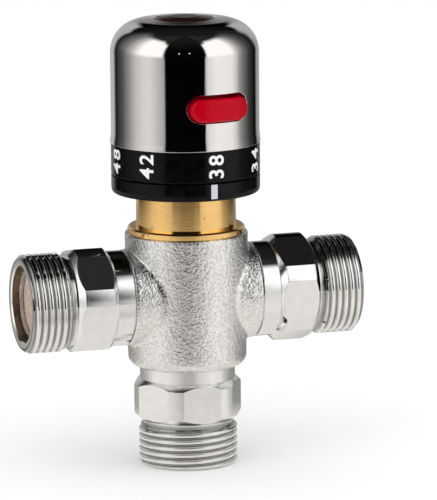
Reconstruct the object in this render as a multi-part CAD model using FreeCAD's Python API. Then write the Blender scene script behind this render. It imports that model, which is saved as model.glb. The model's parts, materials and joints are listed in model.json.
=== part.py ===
"""Thermostatic mixing valve with three equal G 3/4 male ports and a graduated knob.

Frame: millimetres, +Z up along the knob's axis. The origin is the centre of the
outlet's end face. The hot inlet points along -X and the cold inlet along +X.
"""
import FreeCAD
import Part
import math
import os

V = FreeCAD.Vector
UP = V(0, 0, 1)

# ---------------------------------------------------------------- ports
reach = 46.0                # valve centre to each port's end face
thread_r = 13.22            # major radius of the G 3/4 thread
thread_length = 12.4        # end face to hexagon
thread_chamfer = 1.0
relief_r = 12.0             # run-out groove between thread and hexagon
relief_width = 0.9
hex_flats = 27.0            # across flats
hex_corner_r = 14.5         # the corners are turned down to this radius
hex_length = 11.0
hex_end_r = 12.9            # where the end chamfers of the hexagon start
collar_r = 12.75            # round collar behind the hexagon
port_bore_r = 10.2
hot_union_turn = 12.4       # where each union's hexagon stands when it is tight
cold_union_turn = 24.5

# ---------------------------------------------------------------- body casting
boss_end = 17.7             # valve centre to the face the union seats on
boss_r = 12.9
barrel_top_r = 16.5
barrel_bottom_r = 15.8
barrel_above = 16.94        # arm axis up to the casting's top face
barrel_below = 19.3         # arm axis down to the casting's lower edge
barrel_edge_fillet = 3.0
boss_fillet = 1.6
body_wall_at_shoulder = 2.2 # step that carries the cartridge sleeve
outlet_bore_depth = 26.0
throat_r = 8.0

# ---------------------------------------------------------------- cartridge sleeve
fit_gap = 0.1               # radial gap of pieces that fit in one another
sleeve_r = 9.5
sleeve_bore_r = 7.6
sleeve_bottom_below = 11.0  # arm axis down to the shoulder under the sleeve
sleeve_top_above = 9.0      # arm axis up to the sleeve's top face
groove_r = 11.4             # water grooves in the body round the sleeve
groove_length = 6.0
groove_offset = 5.0         # arm axis to the middle of each water groove
passage_width = 9.0         # cast ways from each boss into its groove
passage_height = 5.0
seat_r = 6.0                # bore of both seats
window_count = 6
window_width = 5.2
window_height = 2.8
nose_r = 7.4                # lower end of the sleeve, which holds the return spring
nose_length = 6.0
nose_lip = 1.2
nose_lip_r = 4.9
nose_window_width = 5.0

# ---------------------------------------------------------------- shuttle and wax element
shuttle_length = 9.0
shuttle_wall = 1.1
shuttle_travel = 0.6        # to each side of its regulated place
seat_clear = 0.1            # left at the end of the shuttle's travel
hub_thickness = 1.4
hub_wall = 1.3
rib_count = 3
rib_width = 1.6
wax_r = 4.0
wax_length = 14.0
wax_flange_r = 5.2
wax_flange_thickness = 1.2
wax_guide_r = 2.9
wax_guide_length = 5.0
pin_r = 1.5
pin_depth = 7.0             # length of pin inside the guide at rest
pin_spare = 3.0             # free depth below the pin

# ---------------------------------------------------------------- bonnet
bonnet_thread_r = 12.2
flange_r = 15.7
flange_thickness = 1.8
flange_chamfer = 0.45
neck_r = 13.33
ring_shoulder_above = 30.0  # arm axis up to the shoulder under the index ring
step_r = 12.6
step_length = 4.0
bonnet_boss_r = 8.0
bonnet_top_above = 46.0     # arm axis up to the bonnet's top face
key_r = 7.5                 # bore for the adjuster, with two flats
key_flats = 12.4
adjuster_gap = 0.15

# ---------------------------------------------------------------- spindle and adjuster
stem_r = 4.5
screw_r = 3.9               # adjusting thread, left-hand, 3 mm lead
collar_radius = 6.0
collar_thickness = 2.4
screw_length = 6.7
spline_teeth = 16
spline_r = 4.4
spline_root_r = 4.0
spline_length = 11.0
spline_gap = 0.1
adjuster_length = 14.5
adjuster_drop = 2.0         # spindle collar down to the adjuster at rest
nut_length = 6.0            # threaded part of the adjuster
cup_r = 5.2
plunger_r = 5.0
plunger_thickness = 1.3
plunger_nose_r = 2.3
plunger_nose_length = 3.4
pin_socket = 1.0
snap_clip_thickness = 0.9

# ---------------------------------------------------------------- seals, clips and springs
seal_squeeze_gap = 0.04     # left round a seal ring in its gland
seal_width = 1.3
gland_depth = 1.1
clip_thickness = 0.8
clip_depth = 0.7
overload_wire = 1.0
return_wire = 0.9
check_wire = 0.7
button_wire = 0.6

# ---------------------------------------------------------------- inlet fittings
spigot_r = 10.4             # thread of the union in its boss
spigot_length = 4.7
union_step = 25.0           # valve centre to the step that the check valve seats on
union_way_r = 7.5
strainer_depth = 2.0        # end face to the strainer's rim
strainer_rim = 1.0
strainer_thickness = 0.8
rim_width = 1.35
rim_pocket_width = 0.55
mesh_pitch = 1.6
mesh_opening = 0.9
mesh_border = 0.9
cage_wall = 1.3
valve_seat_r = 6.4
valve_seat_thickness = 3.0
guide_r = 3.0
guide_length = 3.0
poppet_stem_r = 1.5
poppet_r = 7.4
poppet_thickness = 1.0
poppet_seal_thickness = 0.9
poppet_nose_r = 4.8
poppet_nose_length = 1.6
poppet_travel = 3.5
poppet_stop_r = 1.85        # shoulder on the stem that meets the guide when fully open
poppet_gap = 0.1            # rest gap between the poppet's seal and the valve seat

# ---------------------------------------------------------------- rings and knob
ring_r = 19.9
ring_skirt = 2.0            # index ring below its shoulder
ring_height = 4.65
ring_edge = 1.7
ring_inner_r = 15.5
ring_web = 2.3
ring_gap = 0.3              # between the index ring and the scale ring
scale_height = 8.4
scale_wall = 1.5
scale_foot = 1.85           # solid top band of the scale ring
spigot_height = 3.65        # spigot of the scale ring inside the shell
spigot_wall = 1.25
lip_proud = 0.15            # lip of the shell beyond the rings
knob_inset = 0.1            # side of the shell inside the rings' edge
lip_height = 1.3
knob_wall = 1.5
dome_r = 9.0
crown = 0.3
cap_hole_r = 7.95
cap_r = 7.8
cap_seat_depth = 2.0
cap_skirt_r = 6.6
cap_hole_inner_r = 6.7
cap_edge = 2.1
cap_crown = 0.8
cap_skirt_length = 3.5
cap_skirt_wall = 1.2
web_below_rim = 11.55       # rim of the cap's hole down to the hub's top face
web_thickness = 2.5
web_ledge = 1.1
knob_hub_r = 7.5
hub_bottom_gap = 2.0        # bonnet top up to the hub
hub_length = 14.5
screw_shank_r = 2.0
screw_head_r = 4.0
screw_head_height = 2.6
screw_socket_flats = 3.0
screw_bite = 7.4
screw_clear_r = 2.3

# ---------------------------------------------------------------- safety button
button_turn = -81.0         # direction of the button from +X
button_width = 18.4
button_height = 7.1
button_proud = 1.4
button_edge = 0.7
button_gap = 0.25
button_flange_thickness = 1.6
button_flange_edge = 1.2
button_travel = 1.8
button_stem_r = 2.0
button_stem_play = 0.4      # stem to hub when the button is fully pressed
button_boss_r = 3.6
button_boss_proud = 0.7
latch_width = 6.0
latch_thickness = 1.5
latch_gap = 0.75            # index ring up to the latch
stop_height = 4.0
stop_half_width = 10.0      # degrees, post on the index ring
knob_half_range = 152.0     # degrees of knob travel to each side of 38
stop_wall = 1.2

# ---------------------------------------------------------------- heights that follow
arm_z = reach
body_top = arm_z + barrel_above
body_foot = arm_z - barrel_below
sleeve_bottom = arm_z - sleeve_bottom_below
sleeve_top = arm_z + sleeve_top_above
body_bore_r = sleeve_r + fit_gap
shuttle_r = sleeve_bore_r - fit_gap
shuttle_bottom = arm_z - shuttle_length / 2
shuttle_top = arm_z + shuttle_length / 2
hot_seat = shuttle_bottom - shuttle_travel - seat_clear
cold_seat_face = shuttle_top + shuttle_travel + seat_clear
element_seat = shuttle_bottom + 2.5     # top of the shuttle's hub, under the wax element
flange_top = body_top + flange_thickness
ring_shoulder = arm_z + ring_shoulder_above
step_top = ring_shoulder + step_length
bonnet_top = arm_z + bonnet_top_above
bonnet_bore_r = stem_r + fit_gap
collar_top = step_top - fit_gap
collar_bottom = collar_top - collar_thickness
screw_bottom = collar_bottom - screw_length
adjuster_top = collar_bottom - adjuster_drop
adjuster_bottom = adjuster_top - adjuster_length
cup_top = adjuster_top - nut_length
clip_bottom = adjuster_bottom + 0.4
plunger_bottom = clip_bottom + snap_clip_thickness
plunger_top = plunger_bottom + plunger_thickness
plunger_tip = plunger_bottom - plunger_nose_length
guide_top = element_seat + wax_flange_thickness + wax_guide_length
ring_bottom = ring_shoulder - ring_skirt
ring_top = ring_bottom + ring_height
scale_bottom = ring_top + ring_gap
scale_top = scale_bottom + scale_height
scale_inner_r = ring_r - scale_wall
lip_r = ring_r + lip_proud
knob_r = ring_r - knob_inset
knob_inner_r = knob_r - knob_wall
hub_bottom = bonnet_top + hub_bottom_gap
hub_top = hub_bottom + hub_length
rim_z = hub_top + web_below_rim
ledge_z = hub_top + 0.05
spindle_top = hub_bottom + spline_length - 0.6
button_z = (scale_top + rim_z - dome_r) / 2     # middle of the shell's straight side
flange_out_r = knob_inner_r - 0.3
flange_in_r = flange_out_r - button_flange_thickness
latch_out_r = flange_in_r + 0.2
latch_in_r = latch_out_r - latch_thickness
latch_bottom = ring_top + latch_gap
button_coil_r = button_stem_r + 0.3 + button_wire / 2
HOT, COLD = -1, 1


# ---------------------------------------------------------------- shape helpers
def turned(*points):
    """Solid of revolution about Z from its half section, as (radius, height) points."""
    corners = [V(r, 0, z) for r, z in points]
    face = Part.Face(Part.makePolygon(corners + corners[:1]))
    return face.revolve(V(0, 0, 0), UP, 360)


def rod(radius, low, high):
    return Part.makeCylinder(radius, high - low, V(0, 0, low), UP)


def tube(outer, inner, low, high):
    return rod(outer, low, high).cut(rod(inner, low - 1, high + 1))


def block(x, y, z):
    """Box from three (low, high) pairs."""
    return Part.makeBox(x[1] - x[0], y[1] - y[0], z[1] - z[0], V(x[0], y[0], z[0]))


def spun(shape, degrees):
    copy = shape.copy()
    copy.rotate(V(0, 0, 0), UP, degrees)
    return copy


def round_pattern(shape, count, first=0.0):
    return [spun(shape, first + 360.0 * k / count) for k in range(count)]


def hexagon(flats, low, high, turn=0.0):
    """Hexagonal prism along Z with a corner at the angle `turn`."""
    first = V(flats / math.sqrt(3), 0, low)
    rotation = FreeCAD.Rotation
    corners = [rotation(UP, turn + 60 * k).multVec(first) for k in range(6)]
    return Part.Face(Part.makePolygon(corners + corners[:1])).extrude(V(0, 0, high - low))


def stadium_along_x(width, height, middle_z, low, high):
    """Flat bar with round ends, pushed along X: `width` runs along Y."""
    r = height / 2
    half = width / 2 - r
    bar = block((low, high), (-half, half), (middle_z - r, middle_z + r))
    for y in (-half, half):
        bar = bar.fuse(Part.makeCylinder(r, high - low, V(low, y, middle_z), V(1, 0, 0)))
    return bar.removeSplitter()


def sector(outer, inner, low, high, middle, half_angle):
    """Piece of a ring between two angles, in degrees."""
    ring = Part.makeCylinder(outer, high - low, V(0, 0, low), UP, 2 * half_angle)
    ring = ring.cut(rod(inner, low - 1, high + 1))
    return spun(ring, middle - half_angle)


def coil(mean_r, wire, low, high, turns):
    """Compression spring along Z. The wire has a six-sided section."""
    rise = high - low - wire
    path = Part.makeHelix(rise / turns, rise, mean_r)
    corners = [
        V(mean_r + wire / 2 * math.cos(math.radians(60 * k)), 0, wire / 2 * math.sin(math.radians(60 * k)))
        for k in range(6)
    ]
    section = Part.makePolygon(corners + corners[:1])
    spring = Part.Wire(path).makePipeShell([section], True, True)
    spring.translate(V(0, 0, low + wire / 2))
    return spring


def circles_at(shape, radius, height):
    """The round edges of a shape at one radius and height about Z."""
    return [
        e
        for e in shape.Edges
        if isinstance(e.Curve, Part.Circle)
        and abs(e.Curve.Radius - radius) < 1e-6
        and abs(e.Curve.Center.z - height) < 1e-6
    ]


def on_arm(shape, side):
    """Stands a piece that was built along +Z from the valve centre on an inlet's axis."""
    copy = shape.copy()
    copy.rotate(V(0, 0, 0), V(0, 1, 0), 90 * side)
    copy.translate(V(0, 0, arm_z))
    return copy


def save(shape, name):
    shape.exportStep("parts/" + name + ".step")


# ---------------------------------------------------------------- ports
def male_end(turn, start):
    """Collar, hexagon and thread of a port, along +Z from `start` to its end face."""
    hex_high = reach - thread_length
    hex_low = hex_high - hex_length
    rise = hex_corner_r - hex_end_r
    barrel = turned(
        (0, start),
        (collar_r, start),
        (collar_r, hex_low),
        (relief_r, hex_low),
        (relief_r, hex_high + relief_width),
        (thread_r - 0.6, hex_high + relief_width),
        (thread_r, hex_high + relief_width + 0.6),
        (thread_r, reach - thread_chamfer),
        (thread_r - thread_chamfer, reach),
        (0, reach),
    )
    limits = turned(
        (0, hex_low),
        (hex_end_r, hex_low),
        (hex_corner_r, hex_low + rise),
        (hex_corner_r, hex_high - rise),
        (hex_end_r, hex_high),
        (0, hex_high),
    )
    return barrel.fuse(hexagon(hex_flats, hex_low, hex_high, turn).common(limits))


def body_casting():
    outlet = male_end(0, barrel_below - 1)
    outlet.rotate(V(0, 0, 0), V(1, 0, 0), 180)
    outlet.translate(V(0, 0, arm_z))
    barrel = turned((0, body_foot), (barrel_bottom_r, body_foot), (barrel_top_r, body_top), (0, body_top))
    barrel = barrel.makeFillet(barrel_edge_fillet, circles_at(barrel, barrel_bottom_r, body_foot))
    bosses = Part.makeCylinder(boss_r, 2 * boss_end, V(-boss_end, 0, arm_z), V(1, 0, 0))
    solid = barrel.fuse(bosses)
    crossings = [
        e for e in solid.Edges if not isinstance(e.Curve, (Part.Circle, Part.Line)) and e.Length > boss_r
    ]
    solid = solid.makeFillet(boss_fillet, crossings)
    solid = solid.fuse(outlet).removeSplitter()
    return solid.cut(body_ways())


def body_ways():
    """Everything that is bored or cored out of the casting."""
    ways = turned(
        (0, -1),
        (port_bore_r, -1),
        (port_bore_r, outlet_bore_depth),
        (throat_r, outlet_bore_depth + body_wall_at_shoulder),
        (throat_r, sleeve_bottom),
        (body_bore_r, sleeve_bottom),
        (body_bore_r, sleeve_top),
        (bonnet_thread_r + fit_gap, sleeve_top),
        (bonnet_thread_r + fit_gap, body_top + 1),
        (0, body_top + 1),
    )
    for side in (HOT, COLD):
        middle = arm_z + side * groove_offset
        ways = ways.fuse(rod(groove_r, middle - groove_length / 2, middle + groove_length / 2))
        recess = rod(spigot_r + fit_gap, boss_end - spigot_length - 0.2, boss_end + 1)
        ways = ways.fuse(on_arm(recess, side))
        x = sorted((side * body_bore_r, side * (boss_end - spigot_length)))
        height = (middle - passage_height / 2, middle + passage_height / 2)
        ways = ways.fuse(block(x, (-passage_width / 2, passage_width / 2), height))
    return ways


def union(side, turn):
    """Side union: spigot, collar, hexagon and thread, bored from both ends."""
    turn = turn - 90 if side == HOT else -90 - turn
    solid = male_end(turn, boss_end)
    groove = boss_end - 0.3
    spigot = turned(
        (0, boss_end - spigot_length),
        (spigot_r, boss_end - spigot_length),
        (spigot_r, groove - seal_width),
        (spigot_r - gland_depth, groove - seal_width),
        (spigot_r - gland_depth, groove),
        (spigot_r, groove),
        (spigot_r, boss_end),
        (0, boss_end),
    )
    solid = solid.fuse(spigot).cut(rod(union_way_r, 0, reach))
    return solid.cut(rod(port_bore_r, union_step, reach + 1))


def seal_ring(outer, inner, low, high):
    """Seal ring of square section, just clear of its gland."""
    c = seal_squeeze_gap
    return tube(outer - c, inner + c, low + c, high - c)


def inlet_fittings(side, name):
    """What each union holds: seal, check valve and strainer."""
    groove = boss_end - 0.3
    seal = seal_ring(spigot_r + fit_gap, spigot_r - gland_depth, groove - seal_width, groove)
    save(on_arm(seal, side), name + "_union_seal")

    rim_face = reach - strainer_depth
    mesh_face = rim_face - strainer_rim
    mesh_back = mesh_face - strainer_thickness
    rim_r = port_bore_r - fit_gap
    pocket_r = rim_r - rim_pocket_width
    ring = tube(rim_r, rim_r - rim_width, mesh_face, rim_face)
    ring = ring.fuse(tube(rim_r, pocket_r, mesh_back, mesh_face)).removeSplitter()
    save(on_arm(ring, side), name + "_strainer_ring")
    save(on_arm(strainer(pocket_r - fit_gap, mesh_back, mesh_face), side), name + "_strainer_mesh")

    seat_face = mesh_back - valve_seat_thickness
    inner = rim_r - cage_wall
    cage = tube(rim_r, inner, union_step, mesh_back)
    cage = cage.fuse(tube(inner + 0.1, valve_seat_r, seat_face, mesh_back))
    guide = rod(guide_r, union_step, union_step + guide_length)
    rib = block((0, inner + 0.1), (-rib_width / 2, rib_width / 2), (union_step, union_step + 2.0))
    for piece in [guide] + round_pattern(rib, rib_count):
        cage = cage.fuse(piece)
    cage = cage.cut(rod(poppet_stem_r + fit_gap, 0, union_step + guide_length + 1)).removeSplitter()
    save(on_arm(cage, side), name + "_check_cage")

    seal_face = seat_face - poppet_gap
    disc_top = seal_face - poppet_seal_thickness
    disc_bottom = disc_top - poppet_thickness
    stop = union_step + guide_length + poppet_travel + fit_gap
    poppet = turned(
        (0, union_step - 1),
        (poppet_stem_r, union_step - 1),
        (poppet_stem_r, stop),
        (poppet_stop_r, stop),
        (poppet_stop_r, disc_bottom),
        (poppet_r, disc_bottom),
        (poppet_r, disc_top),
        (poppet_nose_r, disc_top),
        (poppet_nose_r, seal_face),
        (poppet_stem_r, seal_face + poppet_nose_length),
        (0, seal_face + poppet_nose_length),
    )
    save(on_arm(poppet, side), name + "_check_poppet")
    save(on_arm(tube(poppet_r, poppet_nose_r, disc_top, seal_face), side), name + "_check_seal")
    mean = poppet_stop_r + 0.15 + check_wire / 2
    spring = coil(mean, check_wire, union_step + guide_length, disc_bottom, 3.5)
    save(on_arm(spring, side), name + "_check_spring")


def strainer(radius, low, high):
    """Woven disc: a plate with a square grid of openings inside a plain border."""
    disc = rod(radius, low, high)
    reach_out = int(radius / mesh_pitch) + 1
    openings = []
    half = mesh_opening / 2
    for i in range(-reach_out, reach_out + 1):
        for j in range(-reach_out, reach_out + 1):
            x, y = i * mesh_pitch, j * mesh_pitch
            if math.hypot(abs(x) + half, abs(y) + half) < radius - mesh_border:
                openings.append(block((x - half, x + half), (y - half, y + half), (low - 1, high + 1)))
    return disc.cut(Part.makeCompound(openings))


# ---------------------------------------------------------------- cartridge
def cartridge_sleeve():
    """Sleeve with hot windows below, cold windows above and the hot seat inside."""
    lip_bottom = sleeve_bottom - nose_length
    sleeve = turned(
        (nose_lip_r, lip_bottom),
        (nose_r, lip_bottom),
        (nose_r, sleeve_bottom),
        (sleeve_r, sleeve_bottom),
        (sleeve_r, sleeve_top),
        (sleeve_bore_r, sleeve_top),
        (sleeve_bore_r, hot_seat),
        (seat_r, hot_seat),
        (seat_r, lip_bottom + nose_lip),
        (nose_lip_r, lip_bottom + nose_lip),
    )
    cutters = []
    half = window_width / 2
    for low in (hot_seat, cold_seat_face - window_height):
        window = block((seat_r + 0.8, sleeve_r + 1), (-half, half), (low, low + window_height))
        cutters += round_pattern(window, window_count)
    drain = block(
        (nose_lip_r, nose_r + 1),
        (-nose_window_width / 2, nose_window_width / 2),
        (lip_bottom + nose_lip, sleeve_bottom - 1),
    )
    cutters += round_pattern(drain, 4, 45)
    for low in sleeve_glands():
        cutters.append(tube(sleeve_r + 1, sleeve_r - gland_depth, low, low + seal_width))
    return sleeve.cut(Part.makeCompound(cutters))


def sleeve_glands():
    """Lower faces of the sleeve's three seal grooves."""
    half = seal_width / 2
    return (sleeve_bottom + 0.6, arm_z - half, sleeve_top - 0.5 - seal_width)


def spokes(inner, outer, low, high):
    """Hub and ribs that carry something in the middle of a ring."""
    ribs = block((0, outer), (-rib_width / 2, rib_width / 2), (low, high))
    solid = rod(inner + hub_wall, low, high)
    for rib in round_pattern(ribs, rib_count, 30):
        solid = solid.fuse(rib)
    return solid.cut(rod(inner, low - 1, high + 1))


def shuttle():
    inner = shuttle_r - shuttle_wall
    ring = tube(shuttle_r, inner, shuttle_bottom, shuttle_top)
    hub = spokes(wax_r + 0.05, inner + 0.1, element_seat - hub_thickness, element_seat)
    solid = ring.fuse(hub)
    low = arm_z - seal_width / 2
    return solid.cut(tube(shuttle_r + 1, shuttle_r - 0.7, low, low + seal_width)).removeSplitter()


def wax_element():
    flange_high = element_seat + wax_flange_thickness
    solid = turned(
        (0, element_seat - wax_length),
        (wax_r - 0.8, element_seat - wax_length),
        (wax_r, element_seat - wax_length + 0.8),
        (wax_r, element_seat),
        (wax_flange_r, element_seat),
        (wax_flange_r, flange_high),
        (wax_guide_r, flange_high),
        (wax_guide_r, guide_top),
        (0, guide_top),
    )
    return solid.cut(rod(pin_r + fit_gap, guide_top - pin_depth - pin_spare, guide_top + 1))


def cold_seat():
    """Ring in the top of the sleeve that the shuttle closes on."""
    return tube(sleeve_bore_r - 0.05, seat_r, cold_seat_face, sleeve_top)


def return_spring():
    low = sleeve_bottom - nose_length + nose_lip
    high = element_seat - hub_thickness
    return coil(wax_r + 0.55 + return_wire / 2, return_wire, low, high, 4)


# ---------------------------------------------------------------- bonnet
def double_flat(radius, flats, low, high):
    """Round bar with two flats, which can slide but not turn."""
    half = flats / 2
    return rod(radius, low, high).common(block((-radius, radius), (-half, half), (low, high)))


def bonnet():
    gland = body_top - 0.9
    clip_low = ring_shoulder + ring_web
    outside = turned(
        (0, sleeve_top),
        (bonnet_thread_r, sleeve_top),
        (bonnet_thread_r, gland - seal_width),
        (bonnet_thread_r - gland_depth, gland - seal_width),
        (bonnet_thread_r - gland_depth, gland),
        (bonnet_thread_r, gland),
        (bonnet_thread_r, body_top),
        (flange_r, body_top),
        (flange_r, flange_top - flange_chamfer),
        (flange_r - flange_chamfer, flange_top),
        (neck_r, flange_top),
        (neck_r, ring_shoulder),
        (step_r, ring_shoulder),
        (step_r, clip_low),
        (step_r - clip_depth, clip_low),
        (step_r - clip_depth, clip_low + clip_thickness),
        (step_r, clip_low + clip_thickness),
        (step_r, step_top),
        (bonnet_boss_r, step_top),
        (bonnet_boss_r, bonnet_top),
        (0, bonnet_top),
    )
    ways = double_flat(key_r, key_flats, sleeve_top - 1, collar_bottom)
    ways = ways.fuse(rod(collar_radius + 0.2, collar_bottom - 1, step_top))
    ways = ways.fuse(rod(bonnet_bore_r, step_top - 1, bonnet_top + 1))
    return outside.cut(ways)


def bonnet_seal():
    gland = body_top - 0.9
    return seal_ring(bonnet_thread_r + fit_gap, bonnet_thread_r - gland_depth, gland - seal_width, gland)


# ---------------------------------------------------------------- spindle and adjuster
def splined_bar(root, tip, low, high):
    """Bar with straight teeth all round."""
    corners = []
    step = 360.0 / spline_teeth
    for k in range(spline_teeth):
        for radius, share in ((root, -0.32), (tip, -0.14), (tip, 0.14), (root, 0.32)):
            angle = math.radians((k + share) * step)
            corners.append(V(radius * math.cos(angle), radius * math.sin(angle), low))
    return Part.Face(Part.makePolygon(corners + corners[:1])).extrude(V(0, 0, high - low))


def spindle_glands():
    """Lower faces of the two seal grooves, which divide the spindle's stem in three."""
    third = (bonnet_top - collar_top) / 3
    return (collar_top + third - seal_width / 2, collar_top + 2 * third - seal_width / 2)


def spindle():
    clip_low = bonnet_top + fit_gap
    stem_high = clip_low + clip_thickness + 0.4
    solid = turned(
        (0, screw_bottom),
        (screw_r - 0.5, screw_bottom),
        (screw_r, screw_bottom + 0.5),
        (screw_r, collar_bottom),
        (collar_radius, collar_bottom),
        (collar_radius, collar_top),
        (stem_r, collar_top),
        (stem_r, clip_low),
        (stem_r - clip_depth, clip_low),
        (stem_r - clip_depth, clip_low + clip_thickness),
        (stem_r, clip_low + clip_thickness),
        (stem_r, stem_high),
        (0, stem_high),
    )
    for low in spindle_glands():
        solid = solid.cut(tube(stem_r + 1, stem_r - gland_depth, low, low + seal_width))
    solid = solid.fuse(splined_bar(spline_root_r, spline_r, stem_high, spindle_top))
    return solid.cut(rod(screw_shank_r + 0.05, spindle_top - screw_bite - 1, spindle_top + 1))


def open_clip(outer, inner, low, gap_angle=40.0):
    """Snap clip: a flat ring with a gap."""
    ring = tube(outer, inner, low, low + clip_thickness)
    half = gap_angle / 2
    gap = sector(outer + 1, inner - 1, low - 1, low + clip_thickness + 1, 90, half)
    return ring.cut(gap)


def adjuster():
    """Cup that climbs the spindle's thread as the knob turns."""
    solid = double_flat(key_r - adjuster_gap, key_flats - 2 * adjuster_gap, adjuster_bottom, adjuster_top)
    solid = solid.cut(rod(screw_r + fit_gap, cup_top - 1, adjuster_top + 1))
    solid = solid.cut(rod(cup_r, adjuster_bottom - 1, cup_top))
    return solid.cut(rod(cup_r + 0.4, clip_bottom, plunger_bottom))


def overload_plunger():
    solid = turned(
        (0, plunger_tip),
        (plunger_nose_r, plunger_tip),
        (plunger_nose_r, plunger_bottom),
        (plunger_r, plunger_bottom),
        (plunger_r, plunger_top),
        (0, plunger_top),
    )
    return solid.cut(rod(pin_r + 0.05, plunger_tip - 1, plunger_tip + pin_socket))


def plunger_clip():
    ring = tube(cup_r + 0.35, plunger_nose_r + 1.2, clip_bottom + 0.05, plunger_bottom)
    gap = sector(cup_r + 1, 1, clip_bottom - 1, plunger_bottom + 1, 90, 20)
    return ring.cut(gap)


# ---------------------------------------------------------------- rings and knob
def index_ring():
    """Fixed ring with the end stop of the knob."""
    ring = turned(
        (ring_inner_r, ring_bottom),
        (ring_r - ring_edge, ring_bottom),
        (ring_r - ring_edge * 0.3, ring_bottom + ring_edge * 0.3),
        (ring_r, ring_bottom + ring_edge),
        (ring_r, ring_top),
        (step_r + 1.6, ring_top),
        (step_r + 1.6, ring_shoulder + ring_web),
        (step_r + 0.1, ring_shoulder + ring_web),
        (step_r + 0.1, ring_shoulder),
        (ring_inner_r, ring_shoulder),
    )
    low = ring_top - 0.5
    stop_out = scale_inner_r - 0.3
    end_stop = sector(
        stop_out, stop_out - stop_wall, low, ring_top + stop_height, button_turn - 90, stop_half_width
    )
    return ring.fuse(end_stop).removeSplitter()


def scale_ring():
    """Turning ring that carries the numbers, with the knob's end stop inside."""
    foot = scale_top - scale_foot
    spigot_top = scale_top + spigot_height
    spigot_out = knob_inner_r - 0.05
    spigot_in = spigot_out - spigot_wall
    ring = turned(
        (scale_inner_r, scale_bottom),
        (ring_r, scale_bottom),
        (ring_r, scale_top),
        (spigot_out, scale_top),
        (spigot_out, spigot_top),
        (spigot_in, spigot_top),
        (spigot_in, foot),
        (scale_inner_r, foot),
    )
    half = 180 - knob_half_range - stop_half_width - 0.3
    stop = sector(
        scale_inner_r + 0.3,
        scale_inner_r - 0.3 - stop_wall,
        scale_bottom + 0.3,
        foot + 0.3,
        button_turn + 90,
        half,
    )
    return ring.fuse(stop).removeSplitter()


def knob_shell():
    """Domed shell with the button's slot and the cap's hole."""
    corner_z = rim_z - dome_r
    top_r = knob_r - dome_r
    inner_top = rim_z - knob_wall
    ledge_r = knob_inner_r - web_ledge
    line = Part.LineSegment
    lean = dome_r * (1 - math.sqrt(0.5))
    outside = [
        line(V(lip_r, 0, scale_top), V(knob_r, 0, scale_top + lip_height)),
        line(V(knob_r, 0, scale_top + lip_height), V(knob_r, 0, corner_z)),
        Part.Arc(V(knob_r, 0, corner_z), V(knob_r - lean, 0, rim_z - lean), V(top_r, 0, rim_z)),
        line(V(top_r, 0, rim_z), V(cap_hole_r, 0, rim_z + crown)),
        line(V(cap_hole_r, 0, rim_z + crown), V(cap_hole_r, 0, rim_z - cap_seat_depth)),
        line(V(cap_hole_r, 0, rim_z - cap_seat_depth), V(cap_hole_inner_r, 0, rim_z - cap_seat_depth)),
    ]
    seat_low = inner_top - cap_seat_depth
    bend = dome_r - knob_wall
    lean_in = bend * (1 - math.sqrt(0.5))
    inside = [
        line(V(cap_hole_inner_r, 0, rim_z - cap_seat_depth), V(cap_hole_inner_r, 0, seat_low)),
        line(V(cap_hole_inner_r, 0, seat_low), V(ledge_r - bend, 0, seat_low)),
        Part.Arc(
            V(ledge_r - bend, 0, seat_low),
            V(ledge_r - lean_in, 0, seat_low - lean_in),
            V(ledge_r, 0, seat_low - bend),
        ),
        line(V(ledge_r, 0, seat_low - bend), V(ledge_r, 0, ledge_z)),
        line(V(ledge_r, 0, ledge_z), V(knob_inner_r, 0, ledge_z)),
        line(V(knob_inner_r, 0, ledge_z), V(knob_inner_r, 0, scale_top)),
        line(V(knob_inner_r, 0, scale_top), V(lip_r, 0, scale_top)),
    ]
    wire = Part.Wire([curve.toShape() for curve in outside + inside])
    shell = Part.Face(wire).revolve(V(0, 0, 0), UP, 360)
    slot = stadium_along_x(
        button_width + 2 * button_gap, button_height + 2 * button_gap, button_z, knob_hub_r, lip_r + 1
    )
    return shell.cut(spun(slot, button_turn))


def knob_cap():
    seat = rim_z - cap_seat_depth
    side_top = seat + cap_edge
    skirt_in = cap_skirt_r - cap_skirt_wall
    cap = turned(
        (0, seat),
        (cap_r, seat),
        (cap_r, side_top),
        (cap_r - 0.5, side_top + cap_crown * 0.45),
        (cap_r - 1.8, side_top + cap_crown * 0.8),
        (cap_r - 4.2, side_top + cap_crown),
        (0, side_top + cap_crown),
    )
    return cap.fuse(tube(cap_skirt_r, skirt_in, seat - cap_skirt_length, seat + 0.5)).removeSplitter()


def knob_hub():
    """Splined boss and web that join the knob to the spindle."""
    web_bottom = hub_top - web_thickness
    hub = rod(knob_hub_r, hub_bottom, hub_top).fuse(rod(knob_inner_r - 0.05, web_bottom, hub_top))
    boss = Part.makeCylinder(
        button_boss_r, knob_hub_r + button_boss_proud, V(0, 0, button_z), V(1, 0, 0)
    )
    hub = hub.fuse(spun(boss, button_turn))
    socket = splined_bar(
        spline_root_r + spline_gap, spline_r + spline_gap, hub_bottom - 1, spindle_top + 0.2
    )
    holes = rod(screw_clear_r, hub_bottom, hub_top + 1)
    return hub.cut(socket).cut(holes).removeSplitter()


def knob_screw():
    shank = rod(screw_shank_r, spindle_top - screw_bite, hub_top)
    head = turned(
        (0, hub_top),
        (screw_head_r, hub_top),
        (screw_head_r, hub_top + screw_head_height - 0.4),
        (screw_head_r - 0.4, hub_top + screw_head_height),
        (0, hub_top + screw_head_height),
    )
    socket = hexagon(screw_socket_flats, hub_top + 0.9, hub_top + screw_head_height + 1)
    return shank.fuse(head).cut(socket)


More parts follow.
